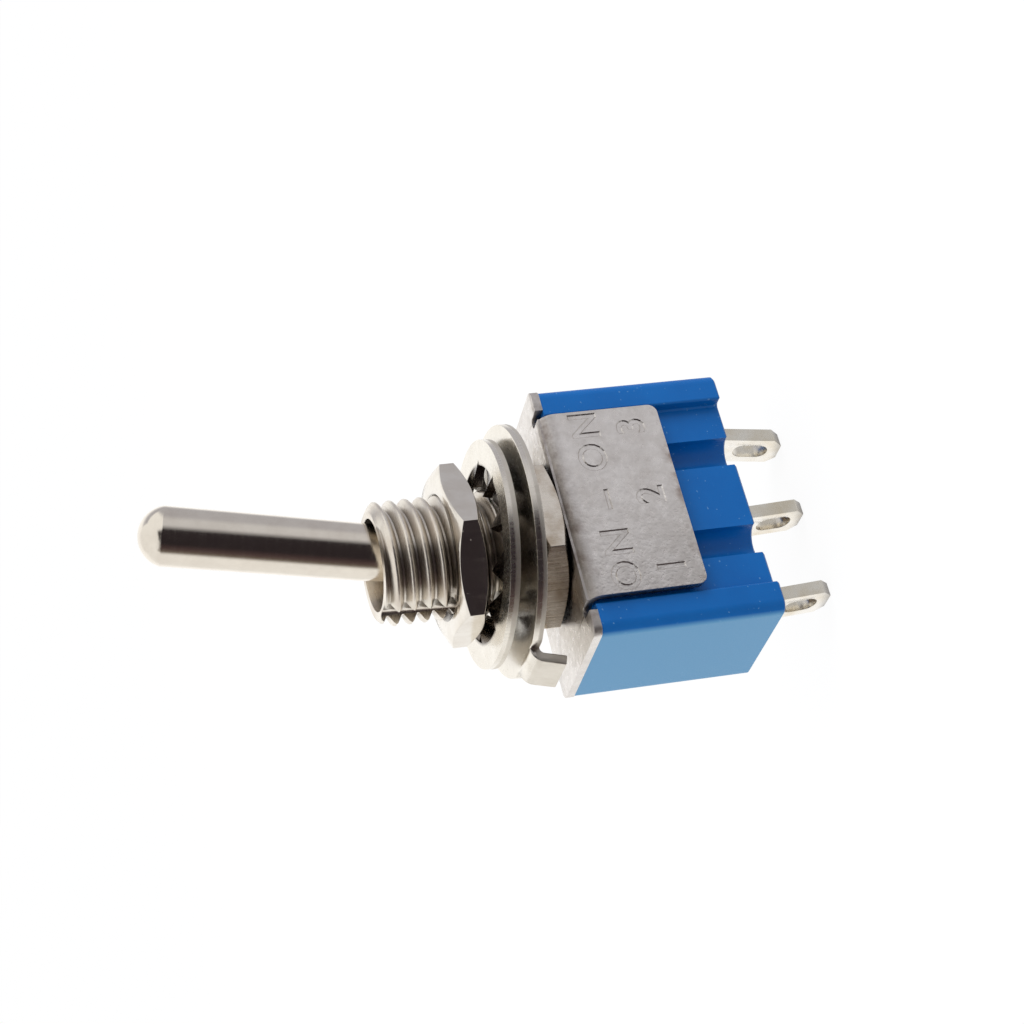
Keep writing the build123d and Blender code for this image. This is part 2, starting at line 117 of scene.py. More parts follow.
# white paper: matt and even, bright enough that the object's shadow stays faint
floor_size = 3000 * mm
floor_drop = 0.02 * mm
floor_glow = 0.92           # what the eye and the metal see
floor_bounce = 0.5          # what the paper throws back up at the object
deselect()
bpy.ops.mesh.primitive_plane_add(
    size=floor_size, location=(0, 0, cad_box[0].z - floor_drop)
)
floor = bpy.context.object
floor.name = "floor"
sweep_paper, tree = new_material("white paper sweep")
glow_strength = add_node(
    tree, "ShaderNodeMapRange", {1: 0.0, 2: 1.0, 3: floor_bounce, 4: floor_glow},
    {0: (seen_directly(tree), 0)},
)
paper = add_node(tree, "ShaderNodeBsdfDiffuse", {"Color": linear("#5c5c5d")})
glow = add_node(
    tree, "ShaderNodeEmission", {"Color": (1, 1, 1, 1)}, {"Strength": (glow_strength, 0)}
)
both = add_node(tree, "ShaderNodeAddShader", {}, {0: (paper, 0), 1: (glow, 0)})
add_node(tree, "ShaderNodeOutputMaterial", {}, {"Surface": (both, 0)})
floor.data.materials.append(sweep_paper)

room_light = 0.75           # what the surround gives the object
world = bpy.data.worlds.new("white surround")
bpy.context.scene.world = world
world.use_nodes = True
tree = world.node_tree
tree.nodes.clear()
soft = add_node(tree, "ShaderNodeBackground", {"Color": (1, 1, 1, 1), "Strength": room_light})
white = add_node(tree, "ShaderNodeBackground", {"Color": (1, 1, 1, 1), "Strength": 1.0})
surround = add_node(
    tree, "ShaderNodeMixShader", {}, {0: (seen_directly(tree), 0), 1: (soft, 0), 2: (white, 0)}
)
add_node(tree, "ShaderNodeOutputWorld", {}, {"Surface": (surround, 0)})

# lamps: place and size in mm, and power
for name, place, size, watts in (
    ("lamp_over", (120, -90, 40), 110, 0.15),
    ("lamp_low", (-130, 40, 20), 110, 0.08),
):
    lamp_data = bpy.data.lights.new(name, "AREA")
    lamp_data.size = size * mm
    lamp_data.energy = watts
    lamp = bpy.data.objects.new(name, lamp_data)
    bpy.context.scene.collection.objects.link(lamp)
    lamp.location = Vector(place) * mm
    lamp.rotation_euler = (-lamp.location).to_track_quat("-Z", "Y").to_euler()
    lamp.visible_glossy = False

# surround: a low glowing wall and the table inside it, tinted by bearing, seen by polished metal
# alone, as painted reflections. Under the object it is paler, grey in front and white behind.
# Sizes in mm.
surround_radius = 42
surround_hole = 16
surround_top = 60
surround_lift = 0.02
surround_steps = 144
grey_side_from, grey_side_to = 270, 284     # degrees, where the grey side begins
open_from, open_to = 24, 30                 # height at which the grey side opens to white
foot = cad_box[0].z / mm + surround_lift
deselect()
bpy.ops.mesh.primitive_circle_add(
    vertices=surround_steps, radius=surround_hole * mm, location=(0, 0, foot * mm)
)
surround_card = bpy.context.object
surround_card.name = "surround_card"
bpy.ops.object.transform_apply(location=True, rotation=True, scale=True)
bpy.ops.object.mode_set(mode="EDIT")
bpy.ops.mesh.select_all(action="SELECT")
bpy.ops.mesh.extrude_edges_move()
wider = surround_radius / surround_hole
bpy.ops.transform.resize(value=(wider, wider, 1), center_override=(0, 0, foot * mm))
bpy.ops.mesh.extrude_edges_move(
    TRANSFORM_OT_translate={"value": (0, 0, (surround_top - foot) * mm)}
)
bpy.ops.object.mode_set(mode="OBJECT")
# painted reflection: a glowing card in soft steps from white to grey to dark brown, which only
# the metal mirrors
reflection_card, tree = new_material("painted reflection card")
place = add_node(tree, "ShaderNodeTexCoord")
apart = add_node(tree, "ShaderNodeSeparateXYZ", {}, {"Vector": (place, "Object")})
bearing = add_node(
    tree, "ShaderNodeMath", {"operation": "ARCTAN2"}, {0: (apart, "Y"), 1: (apart, "X")}
)
turns = add_node(
    tree, "ShaderNodeMath", {"operation": "DIVIDE", 1: 2 * math.pi}, {0: (bearing, 0)}
)
share = add_node(tree, "ShaderNodeMath", {"operation": "FRACT"}, {0: (turns, 0)})
tints = add_node(tree, "ShaderNodeValToRGB", {}, {"Fac": (share, 0)})
ramp = tints.color_ramp.elements
ramp[0].color = linear("#bcbcc3")
ramp[1].color = linear("#bcbcc3")
# bearing in degrees, colour and strength
for degrees, colour, strength in (
    (15, "#bcbcc3", 1.0), (33, "#ffffff", 1.15), (97, "#ffffff", 1.15),
    (108, "#ffffff", 1.0), (168, "#ffffff", 1.0), (181, "#736a60", 1.0),
    (190, "#5a4b49", 1.0), (203, "#453738", 1.0), (216, "#2e282b", 1.0),
    (268, "#2e282b", 1.0), (286, "#d6d6da", 1.0), (308, "#d6d6da", 1.0),
    (326, "#bcbcc3", 1.0),
):
    stop = ramp.new(degrees / 360)
    stop.color = [part * strength for part in linear(colour)]
grey_side = add_node(
    tree, "ShaderNodeMapRange",
    {1: grey_side_from / 360, 2: grey_side_to / 360, 3: 0.0, 4: 1.0}, {0: (share, 0)},
)
high_up = add_node(
    tree, "ShaderNodeMapRange", {1: open_from * mm, 2: open_to * mm, 3: 0.0, 4: 1.0},
    {0: (apart, "Z")},
)
open_top = add_node(
    tree, "ShaderNodeMath", {"operation": "MULTIPLY"}, {0: (grey_side, 0), 1: (high_up, 0)}
)
faded = add_node(
    tree, "ShaderNodeMix", {"data_type": "RGBA", 7: (1, 1, 1, 1)},
    {0: (open_top, 0), 6: (tints, 0)},
)
shade = add_node(tree, "ShaderNodeEmission", {"Strength": 1.0}, {"Color": (faded, 2)})
add_node(tree, "ShaderNodeOutputMaterial", {}, {"Surface": (shade, 0)})
surround_card.data.materials.append(reflection_card)

deselect()
bpy.ops.mesh.primitive_circle_add(
    vertices=surround_steps, radius=surround_hole * mm, location=(0, 0, foot * mm),
    fill_type="NGON",
)
inner_card = bpy.context.object
inner_card.name = "inner_card"
bpy.ops.object.transform_apply(location=True, rotation=True, scale=True)
# painted reflection: a glowing card, grey under the front of the object and white under its back,
# which only the metal mirrors
pale_reflection_card, tree = new_material("pale painted reflection card")
place = add_node(tree, "ShaderNodeTexCoord")
apart = add_node(tree, "ShaderNodeSeparateXYZ", {}, {"Vector": (place, "Object")})
paler = add_node(
    tree, "ShaderNodeMapRange", {1: -2 * mm, 2: 1 * mm, 3: 0.55, 4: 1.1}, {0: (apart, "Y")}
)
shade = add_node(
    tree, "ShaderNodeEmission", {"Color": linear("#fdfdff")}, {"Strength": (paler, 0)}
)
add_node(tree, "ShaderNodeOutputMaterial", {}, {"Surface": (shade, 0)})
inner_card.data.materials.append(pale_reflection_card)

for card in (surround_card, inner_card):
    card.visible_camera = False
    card.visible_diffuse = False
    card.visible_shadow = False
    card.visible_transmission = False

# camera: a 77 mm lens a hand's breadth away, rolled so that the lever points left
camera_place = Vector((-47.96, -90.75, 29.72)) * mm
camera_aim = Vector((1.77, -0.52, 1.46)) * mm
camera_roll = math.radians(-96.31)
camera_data = bpy.data.cameras.new("camera")
camera_data.lens = 77.15
camera_data.sensor_width = 36.0
camera_data.clip_start = 5 * mm
camera_data.clip_end = 3.0
camera = bpy.data.objects.new("camera", camera_data)
bpy.context.scene.collection.objects.link(camera)
look = (camera_aim - camera_place).to_track_quat("-Z", "Y").to_matrix().to_4x4()
camera.matrix_world = (
    Matrix.Translation(camera_place) @ look @ Matrix.Rotation(camera_roll, 4, "Z")
)
bpy.context.scene.camera = camera
bpy.context.scene.view_settings.view_transform = "Standard"

# ---- case ----
# One block of glass-filled polyester, moulded, with proud ridges at its ends and finger
# grooves that let the frame's flaps grip. It came from a lightly spark-eroded mould.

# moulded polyester: even deep blue, a soft sheen, a fine pebble and a little settled dust, with a
# painted reflection paler on the end walls
case_plastic, tree = new_material("moulded blue polyester")
place = add_node(tree, "ShaderNodeTexCoord")
in_mm = add_node(
    tree, "ShaderNodeMapping", {"Scale": (1000, 1000, 1000)}, {"Vector": (place, "Object")}
)
flow = add_node(
    tree, "ShaderNodeTexNoise", {"Scale": 0.35, "Detail": 4.0, "Roughness": 0.6},
    {"Vector": (in_mm, 0)},
)
blue = add_node(tree, "ShaderNodeValToRGB", {}, {"Fac": (flow, "Fac")})
blue.color_ramp.elements[0].position = 0.3
blue.color_ramp.elements[0].color = linear("#005ba6")
blue.color_ramp.elements[1].position = 0.7
blue.color_ramp.elements[1].color = linear("#0062af")
dust_size = add_node(
    tree, "ShaderNodeTexNoise", {"Scale": 5.5, "Detail": 1.0, "Roughness": 0.4},
    {"Vector": (in_mm, 0)},
)
dust = add_node(
    tree, "ShaderNodeMapRange", {1: 0.73, 2: 0.78, 3: 0.0, 4: 0.5}, {0: (dust_size, "Fac")}
)
# painted reflection: the two end walls are a paler, greyer blue, standing in for the glare they
# catch from the white floor at a slant
glare_from, glare_full = 6.6, 6.72            # mm from the middle
apart = add_node(tree, "ShaderNodeSeparateXYZ", {}, {"Vector": (in_mm, 0)})
endwise = add_node(tree, "ShaderNodeMath", {"operation": "ABSOLUTE"}, {0: (apart, "X")})
end_glare = add_node(
    tree, "ShaderNodeMapRange", {1: glare_from, 2: glare_full, 3: 0.0, 4: 1.0},
    {0: (endwise, 0)},
)
glared_blue = add_node(
    tree, "ShaderNodeMix", {"data_type": "RGBA", 7: linear("#5791ba")},
    {0: (end_glare, 0), 6: (blue, 0)},
)
dusty_blue = add_node(
    tree, "ShaderNodeMix", {"data_type": "RGBA", 7: linear("#6f9dc4")},
    {0: (dust, 0), 6: (glared_blue, 2)},
)
pebble = add_node(
    tree, "ShaderNodeTexNoise", {"Scale": 11.0, "Detail": 3.0, "Roughness": 0.6},
    {"Vector": (in_mm, 0)},
)
relief = add_node(
    tree, "ShaderNodeBump", {"Strength": 0.5, "Distance": 0.006 * mm}, {"Height": (pebble, "Fac")}
)
sheen = add_node(
    tree, "ShaderNodeMapRange", {1: 0.3, 2: 0.7, 3: 0.30, 4: 0.44}, {0: (pebble, "Fac")}
)
shader = add_node(
    tree, "ShaderNodeBsdfPrincipled", {"IOR": 1.52, "Specular IOR Level": 0.25},
    {"Base Color": (dusty_blue, 2), "Roughness": (sheen, 0), "Normal": (relief, 0)},
)
add_node(tree, "ShaderNodeOutputMaterial", {}, {"Surface": (shader, 0)})


def flatten_faces(piece, smooth_below=32, plain_box=None):
    """Smooths the eased edges, keeps the broad faces flat, and leaves plain_box unsmoothed."""
    bpy.ops.object.shade_smooth_by_angle(angle=math.radians(smooth_below))
    if plain_box:
        low, high = plain_box
        for face in piece.data.polygons:
            centre = face.center / mm
            face.use_smooth = not all(a < c < b for a, c, b in zip(low, centre, high))
    weighted = piece.modifiers.new("weighted normals", "WEIGHTED_NORMAL")
    weighted.keep_sharp = True
    weighted.weight = 100
    bpy.ops.object.modifier_apply(modifier=weighted.name)


def dress(node_name, name, body, edge, material, smooth_below=32):
    """A copy of the CAD piece with its edges eased by edge mm, which stands for it."""
    deselect()
    piece = bpy.data.objects.new(name, nodes[node_name].data.copy())
    bpy.context.scene.collection.objects.link(piece)
    bpy.context.view_layer.objects.active = piece
    piece.select_set(True)
    bpy.ops.object.mode_set(mode="EDIT")
    bpy.ops.mesh.select_all(action="SELECT")
    bpy.ops.mesh.remove_doubles(threshold=0.0005 * mm)
    bpy.ops.mesh.dissolve_limited(angle_limit=math.radians(0.5))
    bpy.ops.mesh.select_all(action="SELECT")
    bpy.ops.mesh.vert_connect_concave()
    bpy.ops.object.mode_set(mode="OBJECT")
    if edge:
        bevel = piece.modifiers.new("eased edges", "BEVEL")
        bevel.width = edge * mm
        bevel.segments = 2
        bevel.limit_method = "ANGLE"
        bevel.angle_limit = math.radians(32)
        bevel.use_clamp_overlap = True
        bpy.ops.object.modifier_apply(modifier=bevel.name)
    flatten_faces(piece, smooth_below)
    piece.data.materials.clear()
    piece.data.materials.append(material)
    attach(piece, body)
    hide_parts(node_name)
    return piece


dress("case", "case_moulding", "housing", 0.06, case_plastic)

# ---- terminal seal ----
# Epoxy poured into the foot round the three terminals. It wets up the walls and cures
# glossy and brown, with a few bubbles under its skin.

# cast epoxy: deep amber brown, smooth and glossy
seal_resin, tree = new_material("cast brown epoxy")
place = add_node(tree, "ShaderNodeTexCoord")
in_mm = add_node(
    tree, "ShaderNodeMapping", {"Scale": (1000, 1000, 1000)}, {"Vector": (place, "Object")}
)
cloud = add_node(
    tree, "ShaderNodeTexNoise", {"Scale": 1.2, "Detail": 3.0, "Roughness": 0.5},
    {"Vector": (in_mm, 0)},
)
amber = add_node(tree, "ShaderNodeValToRGB", {}, {"Fac": (cloud, "Fac")})
amber.color_ramp.elements[0].position = 0.3
amber.color_ramp.elements[0].color = linear("#5c4526")
amber.color_ramp.elements[1].position = 0.7
amber.color_ramp.elements[1].color = linear("#7d6238")
ripple = add_node(
    tree, "ShaderNodeBump", {"Strength": 0.6, "Distance": 0.03 * mm}, {"Height": (cloud, "Fac")}
)
shader = add_node(
    tree, "ShaderNodeBsdfPrincipled", {"IOR": 1.55, "Roughness": 0.12},
    {"Base Color": (amber, 0), "Normal": (ripple, 0)},
)
add_node(tree, "ShaderNodeOutputMaterial", {}, {"Surface": (shader, 0)})
dress("terminal_seal", "seal_casting", "housing", 0.0, seal_resin)


# ---- terminals ----
# Three lugs punched from brass strip and silver plated. The two end ones are bent over
# inside to carry a contact, and the middle one carries the rocker's saddle.


def plated_metal(
    name, bright, dull, roughness, line_scale, line_depth, grain_scale, grain_depth,
    lean=0.0, speck="#4a4038", speck_from=0.80, dull_size=0.8, shade_reach=1.2, shade_openness=0.6, shade_depth=0.88,
    torn=None,
):
    """Plate over metal: soft clouding, the tool's lines, a fine grain and a few pits.

    line_scale is the lines per mm along each axis, grain_scale the grains per mm, and
    the depths are in mm. lean turns the lines about Y. The colour is darkened towards dark
    brown in recesses and between parts, as painted shade: shade_reach is how near another
    surface has to be, in mm, for it to fall, shade_openness the openness at which it ends,
    and shade_depth how dark it gets. torn is the axis of a blanked piece and the height on
    it, in mm, below which its rim is rough.
    """
    material, tree = new_material(name)
    place = add_node(tree, "ShaderNodeTexCoord")
    in_mm = add_node(
        tree, "ShaderNodeMapping", {"Scale": (1000, 1000, 1000)}, {"Vector": (place, "Object")}
    )
    upright = add_node(
        tree, "ShaderNodeMapping", {"Rotation": (0, -lean, 0)}, {"Vector": (in_mm, 0)}
    )
    along = add_node(tree, "ShaderNodeMapping", {"Scale": line_scale}, {"Vector": (upright, 0)})
    cloud = add_node(
        tree, "ShaderNodeTexNoise", {"Scale": dull_size, "Detail": 5.0, "Roughness": 0.62},
        {"Vector": (in_mm, 0)},
    )
    lines = add_node(
        tree, "ShaderNodeTexNoise", {"Scale": 1.0, "Detail": 3.0, "Roughness": 0.65},
        {"Vector": (along, 0)},
    )
    grain = add_node(
        tree, "ShaderNodeTexNoise", {"Scale": grain_scale, "Detail": 3.0, "Roughness": 0.6},
        {"Vector": (in_mm, 0)},
    )
    tone = add_node(tree, "ShaderNodeValToRGB", {}, {"Fac": (cloud, "Fac")})
    tone.color_ramp.elements[0].position = 0.30
    tone.color_ramp.elements[0].color = linear(dull)
    tone.color_ramp.elements[1].position = 0.62
    tone.color_ramp.elements[1].color = linear(bright)
    pits = add_node(
        tree, "ShaderNodeTexNoise", {"Scale": 4.0, "Detail": 2.0, "Roughness": 0.55},
        {"Vector": (in_mm, 0)},
    )
    pitted = add_node(
        tree, "ShaderNodeMapRange", {1: speck_from, 2: speck_from + 0.05, 3: 0.0, 4: 0.8},
        {0: (pits, "Fac")},
    )
    colour = add_node(
        tree, "ShaderNodeMix", {"data_type": "RGBA", 7: linear(speck)},
        {0: (pitted, 0), 6: (tone, 0)},
    )
    clean = add_node(
        tree, "ShaderNodeMapRange", {1: 0.0, 2: 0.8, 3: 1.0, 4: 0.2}, {0: (pitted, 0)}
    )
    # painted shade: the colour darkens towards dark brown in recesses and between parts, where
    # shade falls
    occlusion = add_node(
        tree, "ShaderNodeAmbientOcclusion", {"samples": 6, "Distance": shade_reach * mm}
    )
    painted_shade = add_node(
        tree, "ShaderNodeMapRange", {1: 0.1, 2: shade_openness, 3: shade_depth, 4: 0.0}, {0: (occlusion, "AO")}
    )
    painted_shade_colour = add_node(
        tree, "ShaderNodeMix", {"data_type": "RGBA", 7: linear("#30251f")},
        {0: (painted_shade, 0), 6: (colour, 2)},
    )
    gloss = add_node(
        tree, "ShaderNodeMapRange",
        {1: 0.3, 2: 0.7, 3: roughness * 0.75, 4: roughness * 1.35}, {0: (lines, "Fac")},
    )
    if torn:
        axis, height = torn
        level = add_node(
            tree, "ShaderNodeVectorMath", {"operation": "DOT_PRODUCT", 1: axis}, {0: (in_mm, 0)}
        )
        tear = add_node(
            tree, "ShaderNodeMapRange", {1: height + 0.04, 2: height - 0.04, 3: 0.0, 4: 0.3},
            {0: (level, "Value")},
        )
        gloss = add_node(
            tree, "ShaderNodeMath", {"operation": "ADD"}, {0: (gloss, 0), 1: (tear, 0)}
        )
    cut = add_node(
        tree, "ShaderNodeBump", {"Strength": 1.0, "Distance": line_depth * mm},
        {"Height": (lines, "Fac")},
    )
    skin = add_node(
        tree, "ShaderNodeBump", {"Strength": 1.0, "Distance": grain_depth * mm},
        {"Height": (grain, "Fac"), "Normal": (cut, 0)},
    )
    shader = add_node(
        tree, "ShaderNodeBsdfPrincipled", {},
        {
            "Base Color": (painted_shade_colour, 2), "Metallic": (clean, 0), "Roughness": (gloss, 0),
            "Normal": (skin, 0),
        },
    )
    add_node(tree, "ShaderNodeOutputMaterial", {}, {"Surface": (shader, 0)})
    return material


# silver over brass: pale and a little yellow, satin from the barrel it was plated in
lug_silver = plated_metal(
    "silver plated brass", "#f0ece3", "#e2d8c4", 0.26, (1.5, 1.5, 12.0), 0.0012, 12.0, 0.001,
)
for side in ("left", "centre", "right"):
    dress(
        f"terminal_{side}", f"lug_{side}", "housing", 0.05, lug_silver
    )

# ---- contacts and rocker ----
# Silver rivets headed into the end terminals and into the arms of a pressed rocker, which
# tips on the middle terminal's ears. They are shut inside the case.

# fine silver: white, smooth and bright where it was headed
contact_silver = plated_metal(
    "headed fine silver", "#efece6", "#cfcac0", 0.18, (9.0, 9.0, 1.0), 0.0008, 16.0, 0.001,
)
for side in ("left", "right"):
    for kind in ("fixed", "moving"):
        contact = nodes[f"{kind}_contact_{side}"]
        contact.data.materials.clear()
        contact.data.materials.append(contact_silver)
# silver over brass strip: a warmer white, with the rolling's fine lines
rocker_strip = plated_metal(
    "pressed silver plated strip", "#e9e1d0", "#cbbd9c", 0.25, (14.0, 1.0, 1.0), 0.001,
    12.0, 0.001,
)
rocker = nodes["rocker"]
rocker.data.materials.clear()
rocker.data.materials.append(rocker_strip)

# ---- frame ----
# One sheet of steel, blanked, folded over the case and nickel plated. Its flap is stamped
# with the switch's two positions and its terminal numbers.

# nickel over rolled steel: cool grey satin with an orange peel, from the barrel
frame_plate = plated_metal(
    "barrel plated steel sheet", "#e6e1dc", "#d6d0ca", 0.31, (3.0, 3.0, 3.0), 0.003,
    6.0, 0.022, speck="#8d6a4c", speck_from=0.76, dull_size=1.1,
)
# the sheared edges took little plate and the plate crazed along the bend, so brown steel
# shows through there. Heights and depths in mm.
brown_from, brown_full = -5.45, -5.95
bend_from, bend_full = -0.9, -0.3
bend_inside, bend_outside = -3.1, -3.35
tree = frame_plate.node_tree
shader = tree.nodes["Principled BSDF"]
plated = shader.inputs["Base Color"].links[0].from_node
place = add_node(tree, "ShaderNodeTexCoord")
apart = add_node(tree, "ShaderNodeSeparateXYZ", {}, {"Vector": (place, "Object")})
near_edge = add_node(
    tree, "ShaderNodeMapRange", {1: brown_from * mm, 2: brown_full * mm, 3: 0.0, 4: 1.0},
    {0: (apart, "Z")},
)
patches = add_node(
    tree, "ShaderNodeTexNoise", {"Scale": 900.0, "Detail": 4.0, "Roughness": 0.65},
    {"Vector": (place, "Object")},
)
patchy = add_node(
    tree, "ShaderNodeMapRange", {1: 0.5, 2: 0.68, 3: 0.0, 4: 0.65}, {0: (patches, "Fac")}
)
bend_top = add_node(
    tree, "ShaderNodeMapRange", {1: bend_from * mm, 2: bend_full * mm, 3: 0.0, 4: 0.7},
    {0: (apart, "Z")},
)
bend_front = add_node(
    tree, "ShaderNodeMapRange", {1: bend_inside * mm, 2: bend_outside * mm, 3: 0.0, 4: 1.0},
    {0: (apart, "Y")},
)
bent = add_node(
    tree, "ShaderNodeMath", {"operation": "MULTIPLY"}, {0: (bend_top, 0), 1: (bend_front, 0)}
)
bare = add_node(
    tree, "ShaderNodeMath", {"operation": "MAXIMUM"}, {0: (near_edge, 0), 1: (bent, 0)}
)
rust = add_node(
    tree, "ShaderNodeMath", {"operation": "MULTIPLY"}, {0: (bare, 0), 1: (patchy, 0)}
)
gloss = shader.inputs["Roughness"].links[0].from_node
crazing = add_node(tree, "ShaderNodeMath", {"operation": "MULTIPLY", 1: 0.4}, {0: (bent, 0)})
dulled = add_node(
    tree, "ShaderNodeMath", {"operation": "ADD"}, {0: (gloss, 0), 1: (crazing, 0)}
)
tree.links.new(dulled.outputs[0], shader.inputs["Roughness"])
worn = add_node(
    tree, "ShaderNodeMix", {"data_type": "RGBA", 7: linear("#7a5a45")},
    {0: (rust, 0), 6: (plated, 2)},
)
tree.links.new(worn.outputs[2], shader.inputs["Base Color"])
frame_sheet = dress("frame", "frame_sheet", "housing", 0.05, frame_plate)
flap_face_y = -3.95 * mm
flap_inside = ((-4.94, -4.0, -5.5), (4.94, -3.9, -0.9))     # in mm, short of its eased edges
stamp_depth = 0.055 * mm
stamp_size = 1.95 * mm      # gives characters 1.4 mm high
punches = []
# character, centre along the flap and foot of its row, in mm
for mark, centre_x, foot_z in (
    ("ON", -3.25, -2.75), ("\u2013", 0.0, -2.75), ("ON", 3.25, -2.75),
    ("1", -3.9, -5.05), ("2", 0.0, -5.05), ("3", 3.9, -5.05),
):
    deselect()
    bpy.ops.object.text_add()
    punch = bpy.context.object
    punch.data.body = mark
    punch.data.align_x = "CENTER"
    punch.data.size = stamp_size
    punch.data.space_character = 1.25
    punch.data.resolution_u = 4
    punch.data.bevel_depth = stamp_depth
    punch.data.bevel_resolution = 0
    bpy.ops.object.convert(target="MESH")
    punch = bpy.context.object
    punch.rotation_euler = (math.radians(90), 0, 0)
    punch.location = (centre_x * mm, flap_face_y, foot_z * mm)
    bpy.ops.object.transform_apply(location=True, rotation=True, scale=True)
    punches.append(punch)
deselect()
for punch in punches:
    punch.select_set(True)
bpy.context.view_layer.objects.active = punches[0]
bpy.ops.object.join()
punch = bpy.context.object
bpy.ops.object.mode_set(mode="EDIT")
bpy.ops.mesh.select_all(action="SELECT")
bpy.ops.mesh.remove_doubles(threshold=0.0005 * mm)
bpy.ops.mesh.normals_make_consistent(inside=False)
bpy.ops.object.mode_set(mode="OBJECT")
deselect()
bpy.context.view_layer.objects.active = frame_sheet
frame_sheet.select_set(True)
stamp = frame_sheet.modifiers.new("stamp", "BOOLEAN")
stamp.operation = "DIFFERENCE"
stamp.solver = "EXACT"
stamp.object = punch
bpy.ops.object.modifier_apply(modifier=stamp.name)
bpy.data.objects.remove(punch)
flatten_faces(frame_sheet, plain_box=flap_inside)

# ---- bushing ----
# Turned brass bar, drilled from its foot for the lever's ball, keyed, and threaded
# M6 x 0.75 over its whole length before plating. The foot is clenched under the sheet.

# nickel over turned brass: bright and a little yellow, with the lathe's rings
bushing_plate = plated_metal(
    "nickel plated turned brass", "#e8e1d5", "#d8cdbf", 0.30, (0.4, 0.4, 16.0), 0.0016,
    9.0, 0.0014, shade_reach=0.7,
)
thread_pitch = 0.75 * mm
crest_r = 3.0 * mm
thread_root_r = 2.54 * mm
root_half = 0.047 * mm      # half the flat at the bottom of the groove
flank_end_r = 2.93 * mm     # where the flank turns over into the rounded crest
flank_half = 0.272 * mm
crest_half = 0.35 * mm
thread_steps = 72           # round one turn
thread_start = 0.55 * mm
thread_end = 9.6 * mm
groove_section = [
    (thread_root_r, -root_half),
    (flank_end_r, -flank_half),
    (crest_r, -crest_half),
    (crest_r + 0.06 * mm, -crest_half),
    (crest_r + 0.06 * mm, crest_half),
    (crest_r, crest_half),
    (flank_end_r, flank_half),
    (thread_root_r, root_half),
]
deselect()
bpy.ops.mesh.primitive_circle_add(vertices=len(groove_section), radius=crest_r)
groove = bpy.context.object
groove.name = "thread_groove"
for vertex, (x, z) in zip(groove.data.vertices, groove_section):
    vertex.co = (x, 0, thread_start + z)
screw = groove.modifiers.new("helix", "SCREW")
screw.axis = "Z"
screw.angle = math.tau
screw.screw_offset = thread_pitch
screw.iterations = int((thread_end - thread_start) / thread_pitch)
screw.steps = thread_steps
screw.render_steps = thread_steps
screw.use_merge_vertices = False
bpy.ops.object.modifier_apply(modifier=screw.name)
bpy.ops.object.mode_set(mode="EDIT")
bpy.ops.mesh.select_all(action="SELECT")
bpy.ops.mesh.remove_doubles(threshold=0.0005 * mm)
bpy.ops.mesh.select_all(action="DESELECT")
bpy.ops.mesh.select_mode(type="EDGE")
bpy.ops.mesh.select_non_manifold()
bpy.ops.mesh.edge_face_add()
bpy.ops.mesh.select_all(action="SELECT")
bpy.ops.mesh.normals_make_consistent(inside=False)
bpy.ops.object.mode_set(mode="OBJECT")

bushing = dress("bushing", "bushing_threaded", "housing", 0.0, bushing_plate)
deselect()
bpy.context.view_layer.objects.active = bushing
bushing.select_set(True)
# the thread's crest runs a little way into the countersink of each nut
run_in = 0.2 * mm
core_r = 2.6 * mm           # between the thread's mid height and the bottom of its keyway
for nut in ("front_nut", "rear_nut"):
    heights = [corner[2] for corner in nodes[nut].bound_box]
    for height, shift in ((min(heights), run_in), (max(heights), -run_in)):
        bpy.ops.object.mode_set(mode="EDIT")
        bpy.ops.mesh.select_mode(type="VERT")
        bpy.ops.mesh.select_all(action="DESELECT")
        bpy.ops.object.mode_set(mode="OBJECT")
        for vertex in bushing.data.vertices:
            level = abs(vertex.co.z - height) < 0.01 * mm
            vertex.select = level and vertex.co.xy.length > core_r
        bpy.ops.object.mode_set(mode="EDIT")
        bpy.ops.transform.translate(value=(0, 0, shift))
        bpy.ops.object.mode_set(mode="OBJECT")
cut = bushing.modifiers.new("thread", "BOOLEAN")
cut.operation = "DIFFERENCE"
cut.solver = "EXACT"
cut.object = groove
bpy.ops.object.modifier_apply(modifier=cut.name)
bpy.data.objects.remove(groove)
bpy.ops.object.shade_smooth_by_angle(angle=math.radians(38))

# ---- rear nut ----
# Thin hexagon nut cut from drawn brass bar, which leaves the bar's die lines along its
# flats. It backs the locating ring against the panel.

# nickel over drawn brass: the bar's coarse lines show through as fine stripes
nut_plate = plated_metal(
    "nickel plated drawn brass", "#e6ded2", "#b9aa97", 0.26, (9.0, 9.0, 0.35), 0.006,
    10.0, 0.002,
)
dress("rear_nut", "rear_nut_plated", "housing", 0.03, nut_plate)

# ---- locating ring ----
# Blanked from steel sheet, keyed to the bushing, with a tab bent back off its rim that
# drops into a small hole in the panel.

hang_side = math.radians(-29.0)     # both loose washers lean towards this side
ring_tilt = math.radians(3.1)
ring_axis = (
    math.sin(ring_tilt) * math.cos(hang_side), math.sin(ring_tilt) * math.sin(hang_side),
    math.cos(ring_tilt),
)
# nickel over blanked steel: a bright, smooth face and a dull, torn lower rim
ring_plate = plated_metal(
    "nickel plated blanked steel", "#ebe5da", "#dfd8cb", 0.22, (7.0, 7.0, 0.8), 0.0014,
    8.0, 0.0004, shade_reach=1.1, shade_openness=0.55, shade_depth=0.7, torn=(ring_axis, 2.02),
)
dress("locating_ring", "locating_ring_plated", "housing", 0.07, ring_plate)

# ---- lock washer ----
# Spring steel, with ten teeth round its bore, each twisted so that its corners bite the
# nut and the panel.

washer_tilt = math.radians(5.0)
washer_axis = (
    math.sin(washer_tilt) * math.cos(hang_side), math.sin(washer_tilt) * math.sin(hang_side),
    math.cos(washer_tilt),
)
